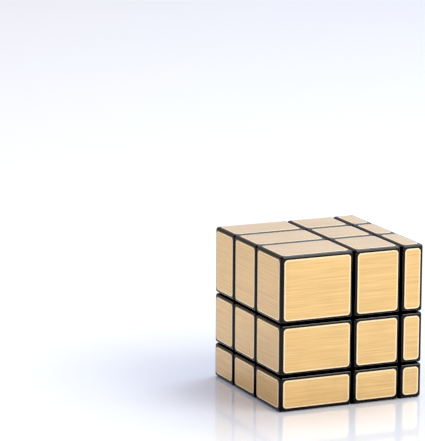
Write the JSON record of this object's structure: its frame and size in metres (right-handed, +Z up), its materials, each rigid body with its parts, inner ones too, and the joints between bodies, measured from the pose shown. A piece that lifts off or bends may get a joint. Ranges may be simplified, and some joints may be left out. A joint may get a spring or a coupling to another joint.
{
  "type": "mirror block cube",
  "caption": "Cube puzzle of rounded black blocks with brushed gold foil faces: layers of unequal thickness on each axis turn about an off-centre six-armed core.",
  "frame": {"origin": "on the ground, at the middle of the solved cube's bottom square", "axes": "+Z up, -Y out of the front face, -X out of the left face, whose layer is the thickest"},
  "size_m": [0.057, 0.057, 0.057],
  "materials": {
    "black_plastic": "moulded black ABS, semi-gloss",
    "gold_foil": "brushed gold metallised film",
    "core_plastic": "moulded nylon, satin",
    "steel": "zinc plated"
  },
  "bodies": {
    "core": {"core_spider": "core_plastic", "tension_screws_and_springs": "steel"},
    "middle_up": {"hub_up": "black_plastic", "cap_up": "black_plastic", "tile_up": "gold_foil"},
    "middle_down": {"hub_down": "black_plastic", "cap_down": "black_plastic", "tile_down": "gold_foil"},
    "middle_front": {"hub_front": "black_plastic", "cap_front": "black_plastic", "tile_front": "gold_foil"},
    "middle_back": {"hub_back": "black_plastic", "cap_back": "black_plastic", "tile_back": "gold_foil"},
    "middle_left": {"hub_left": "black_plastic", "cap_left": "black_plastic", "tile_left": "gold_foil"},
    "middle_right": {"hub_right": "black_plastic", "cap_right": "black_plastic", "tile_right": "gold_foil"},
    "edge_up_front": {"edge_up_front": "black_plastic", "tiles_up_front": "gold_foil"},
    "edge_up_back": {"edge_up_back": "black_plastic", "tiles_up_back": "gold_foil"},
    "edge_up_left": {"edge_up_left": "black_plastic", "tiles_up_left": "gold_foil"},
    "edge_up_right": {"edge_up_right": "black_plastic", "tiles_up_right": "gold_foil"},
    "edge_down_front": {"edge_down_front": "black_plastic", "tiles_down_front": "gold_foil"},
    "edge_down_back": {"edge_down_back": "black_plastic", "tiles_down_back": "gold_foil"},
    "edge_down_left": {"edge_down_left": "black_plastic", "tiles_down_left": "gold_foil"},
    "edge_down_right": {"edge_down_right": "black_plastic", "tiles_down_right": "gold_foil"},
    "edge_front_left": {"edge_front_left": "black_plastic", "tiles_front_left": "gold_foil"},
    "edge_front_right": {"edge_front_right": "black_plastic", "tiles_front_right": "gold_foil"},
    "edge_back_left": {"edge_back_left": "black_plastic", "tiles_back_left": "gold_foil"},
    "edge_back_right": {"edge_back_right": "black_plastic", "tiles_back_right": "gold_foil"},
    "corner_up_front_left": {"corner_up_front_left": "black_plastic", "tiles_up_front_left": "gold_foil"},
    "corner_up_front_right": {"corner_up_front_right": "black_plastic", "tiles_up_front_right": "gold_foil"},
    "corner_up_back_left": {"corner_up_back_left": "black_plastic", "tiles_up_back_left": "gold_foil"},
    "corner_up_back_right": {"corner_up_back_right": "black_plastic", "tiles_up_back_right": "gold_foil"},
    "corner_down_front_left": {"corner_down_front_left": "black_plastic", "tiles_down_front_left": "gold_foil"},
    "corner_down_front_right": {"corner_down_front_right": "black_plastic", "tiles_down_front_right": "gold_foil"},
    "corner_down_back_left": {"corner_down_back_left": "black_plastic", "tiles_down_back_left": "gold_foil"},
    "corner_down_back_right": {"corner_down_back_right": "black_plastic", "tiles_down_back_right": "gold_foil"}
  },
  "joints": [
    {"name": "turn_up", "type": "hinge", "parent": "core", "child": "middle_up", "pos_m": [0.01, 0.002, 0.0225], "axis": [0, 0, 1], "continuous": true},
    {"name": "turn_down", "type": "hinge", "parent": "core", "child": "middle_down", "pos_m": [0.01, 0.002, 0.0225], "axis": [0, 0, 1], "continuous": true},
    {"name": "turn_front", "type": "hinge", "parent": "core", "child": "middle_front", "pos_m": [0.01, 0.002, 0.0225], "axis": [0, 1, 0], "continuous": true},
    {"name": "turn_back", "type": "hinge", "parent": "core", "child": "middle_back", "pos_m": [0.01, 0.002, 0.0225], "axis": [0, 1, 0], "continuous": true},
    {"name": "turn_left", "type": "hinge", "parent": "core", "child": "middle_left", "pos_m": [0.01, 0.002, 0.0225], "axis": [1, 0, 0], "continuous": true},
    {"name": "turn_right", "type": "hinge", "parent": "core", "child": "middle_right", "pos_m": [0.01, 0.002, 0.0225], "axis": [1, 0, 0], "continuous": true},
    {"name": "edge_up_front_with_front", "type": "hinge", "parent": "middle_up", "child": "edge_up_front", "pos_m": [0.01, 0.002, 0.0225], "axis": [0, 1, 0], "continuous": true},
    {"name": "edge_up_back_with_back", "type": "hinge", "parent": "middle_up", "child": "edge_up_back", "pos_m": [0.01, 0.002, 0.0225], "axis": [0, 1, 0], "continuous": true},
    {"name": "edge_up_left_with_up", "type": "hinge", "parent": "middle_left", "child": "edge_up_left", "pos_m": [0.01, 0.002, 0.0225], "axis": [0, 0, 1], "continuous": true},
    {"name": "edge_up_right_with_up", "type": "hinge", "parent": "middle_right", "child": "edge_up_right", "pos_m": [0.01, 0.002, 0.0225], "axis": [0, 0, 1], "continuous": true},
    {"name": "edge_down_front_with_front", "type": "hinge", "parent": "middle_down", "child": "edge_down_front", "pos_m": [0.01, 0.002, 0.0225], "axis": [0, 1, 0], "continuous": true},
    {"name": "edge_down_back_with_back", "type": "hinge", "parent": "middle_down", "child": "edge_down_back", "pos_m": [0.01, 0.002, 0.0225], "axis": [0, 1, 0], "continuous": true},
    {"name": "edge_down_left_with_down", "type": "hinge", "parent": "middle_left", "child": "edge_down_left", "pos_m": [0.01, 0.002, 0.0225], "axis": [0, 0, 1], "continuous": true},
    {"name": "edge_down_right_with_down", "type": "hinge", "parent": "middle_right", "child": "edge_down_right", "pos_m": [0.01, 0.002, 0.0225], "axis": [0, 0, 1], "continuous": true},
    {"name": "edge_front_left_with_left", "type": "hinge", "parent": "middle_front", "child": "edge_front_left", "pos_m": [0.01, 0.002, 0.0225], "axis": [1, 0, 0], "continuous": true},
    {"name": "edge_front_right_with_right", "type": "hinge", "parent": "middle_front", "child": "edge_front_right", "pos_m": [0.01, 0.002, 0.0225], "axis": [1, 0, 0], "continuous": true},
    {"name": "edge_back_left_with_left", "type": "hinge", "parent": "middle_back", "child": "edge_back_left", "pos_m": [0.01, 0.002, 0.0225], "axis": [1, 0, 0], "continuous": true},
    {"name": "edge_back_right_with_right", "type": "hinge", "parent": "middle_back", "child": "edge_back_right", "pos_m": [0.01, 0.002, 0.0225], "axis": [1, 0, 0], "continuous": true},
    {"name": "corner_up_front_left_with_up", "type": "hinge", "parent": "edge_front_left", "child": "corner_up_front_left", "pos_m": [0.01, 0.002, 0.0225], "axis": [0, 0, 1], "continuous": true},
    {"name": "corner_up_front_right_with_up", "type": "hinge", "parent": "edge_front_right", "child": "corner_up_front_right", "pos_m": [0.01, 0.002, 0.0225], "axis": [0, 0, 1], "continuous": true},
    {"name": "corner_up_back_left_with_up", "type": "hinge", "parent": "edge_back_left", "child": "corner_up_back_left", "pos_m": [0.01, 0.002, 0.0225], "axis": [0, 0, 1], "continuous": true},
    {"name": "corner_up_back_right_with_up", "type": "hinge", "parent": "edge_back_right", "child": "corner_up_back_right", "pos_m": [0.01, 0.002, 0.0225], "axis": [0, 0, 1], "continuous": true},
    {"name": "corner_down_front_left_with_down", "type": "hinge", "parent": "edge_front_left", "child": "corner_down_front_left", "pos_m": [0.01, 0.002, 0.0225], "axis": [0, 0, 1], "continuous": true},
    {"name": "corner_down_front_right_with_down", "type": "hinge", "parent": "edge_front_right", "child": "corner_down_front_right", "pos_m": [0.01, 0.002, 0.0225], "axis": [0, 0, 1], "continuous": true},
    {"name": "corner_down_back_left_with_down", "type": "hinge", "parent": "edge_back_left", "child": "corner_down_back_left", "pos_m": [0.01, 0.002, 0.0225], "axis": [0, 0, 1], "continuous": true},
    {"name": "corner_down_back_right_with_down", "type": "hinge", "parent": "edge_back_right", "child": "corner_down_back_right", "pos_m": [0.01, 0.002, 0.0225], "axis": [0, 0, 1], "continuous": true}
  ],
  "couplings": [
    {"joint": "edge_up_front_with_front", "follows": "turn_front", "ratio": 1},
    {"joint": "edge_up_back_with_back", "follows": "turn_back", "ratio": 1},
    {"joint": "edge_up_left_with_up", "follows": "turn_up", "ratio": 1},
    {"joint": "edge_up_right_with_up", "follows": "turn_up", "ratio": 1},
    {"joint": "edge_down_front_with_front", "follows": "turn_front", "ratio": 1},
    {"joint": "edge_down_back_with_back", "follows": "turn_back", "ratio": 1},
    {"joint": "edge_down_left_with_down", "follows": "turn_down", "ratio": 1},
    {"joint": "edge_down_right_with_down", "follows": "turn_down", "ratio": 1},
    {"joint": "edge_front_left_with_left", "follows": "turn_left", "ratio": 1},
    {"joint": "edge_front_right_with_right", "follows": "turn_right", "ratio": 1},
    {"joint": "edge_back_left_with_left", "follows": "turn_left", "ratio": 1},
    {"joint": "edge_back_right_with_right", "follows": "turn_right", "ratio": 1},
    {"joint": "corner_up_front_left_with_up", "follows": "turn_up", "ratio": 1},
    {"joint": "corner_up_front_right_with_up", "follows": "turn_up", "ratio": 1},
    {"joint": "corner_up_back_left_with_up", "follows": "turn_up", "ratio": 1},
    {"joint": "corner_up_back_right_with_up", "follows": "turn_up", "ratio": 1},
    {"joint": "corner_down_front_left_with_down", "follows": "turn_down", "ratio": 1},
    {"joint": "corner_down_front_right_with_down", "follows": "turn_down", "ratio": 1},
    {"joint": "corner_down_back_left_with_down", "follows": "turn_down", "ratio": 1},
    {"joint": "corner_down_back_right_with_down", "follows": "turn_down", "ratio": 1}
  ]
}
